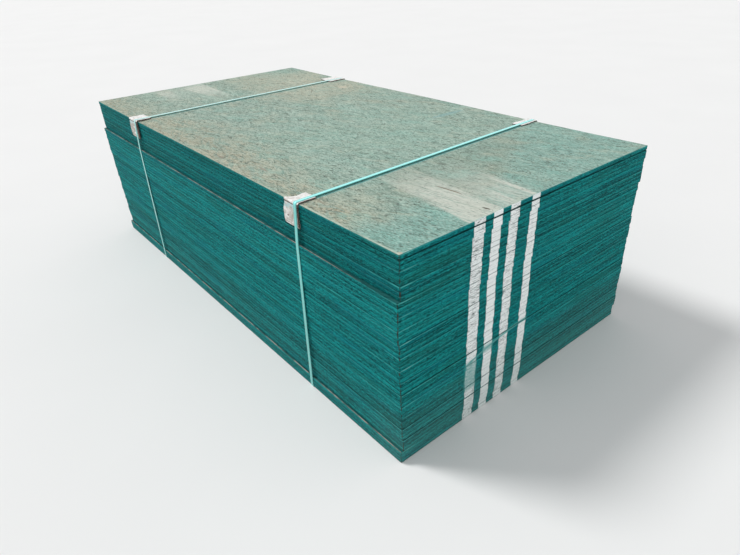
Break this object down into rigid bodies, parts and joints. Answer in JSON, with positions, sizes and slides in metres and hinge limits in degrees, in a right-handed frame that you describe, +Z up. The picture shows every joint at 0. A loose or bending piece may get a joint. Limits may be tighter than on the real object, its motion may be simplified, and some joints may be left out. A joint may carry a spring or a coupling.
{
  "type": "stack of osb panels",
  "caption": "Stack of painted oriented strand board sheets, bound across its width by flat plastic straps over board edge protectors, ready to store or lift.",
  "frame": {"origin": "middle of the footprint, on the plane of the straps' undersides that the stack rests on", "axes": "+X along the length towards the striped end that is seen first, +Y from the front long side to the back one, +Z up"},
  "size_m": [2.4414, 1.2426, 0.7455],
  "materials": {
    "painted_osb": "matte",
    "edge_board": "matte",
    "strap_band": "gloss"
  },
  "bodies": {
    "root": {"panel_01": "painted_osb", "panel_02": "painted_osb", "panel_03": "painted_osb", "panel_04": "painted_osb", "panel_05": "painted_osb", "panel_06": "painted_osb", "panel_07": "painted_osb", "panel_08": "painted_osb", "panel_09": "painted_osb", "panel_10": "painted_osb", "panel_11": "painted_osb", "panel_12": "painted_osb", "panel_13": "painted_osb", "panel_14": "painted_osb", "panel_15": "painted_osb", "panel_16": "painted_osb", "panel_17": "painted_osb", "panel_18": "painted_osb", "panel_19": "painted_osb", "panel_20": "painted_osb", "panel_21": "painted_osb", "panel_22": "painted_osb", "panel_23": "painted_osb", "panel_24": "painted_osb", "panel_25": "painted_osb", "panel_26": "painted_osb", "panel_27": "painted_osb", "panel_28": "painted_osb", "panel_29": "painted_osb", "panel_30": "painted_osb", "panel_31": "painted_osb", "panel_32": "painted_osb", "panel_33": "painted_osb", "panel_34": "painted_osb", "panel_35": "painted_osb", "panel_36": "painted_osb", "panel_37": "painted_osb", "panel_38": "painted_osb", "panel_39": "painted_osb", "panel_40": "painted_osb", "panel_41": "painted_osb", "panel_42": "painted_osb", "panel_43": "painted_osb", "panel_44": "painted_osb", "panel_45": "painted_osb", "panel_46": "painted_osb", "panel_47": "painted_osb", "panel_48": "painted_osb", "edge_protector_near_front": "edge_board", "edge_protector_near_back": "edge_board", "edge_protector_far_front": "edge_board", "edge_protector_far_back": "edge_board", "strap_near": "strap_band", "strap_far": "strap_band"}
  },
  "joints": []
}
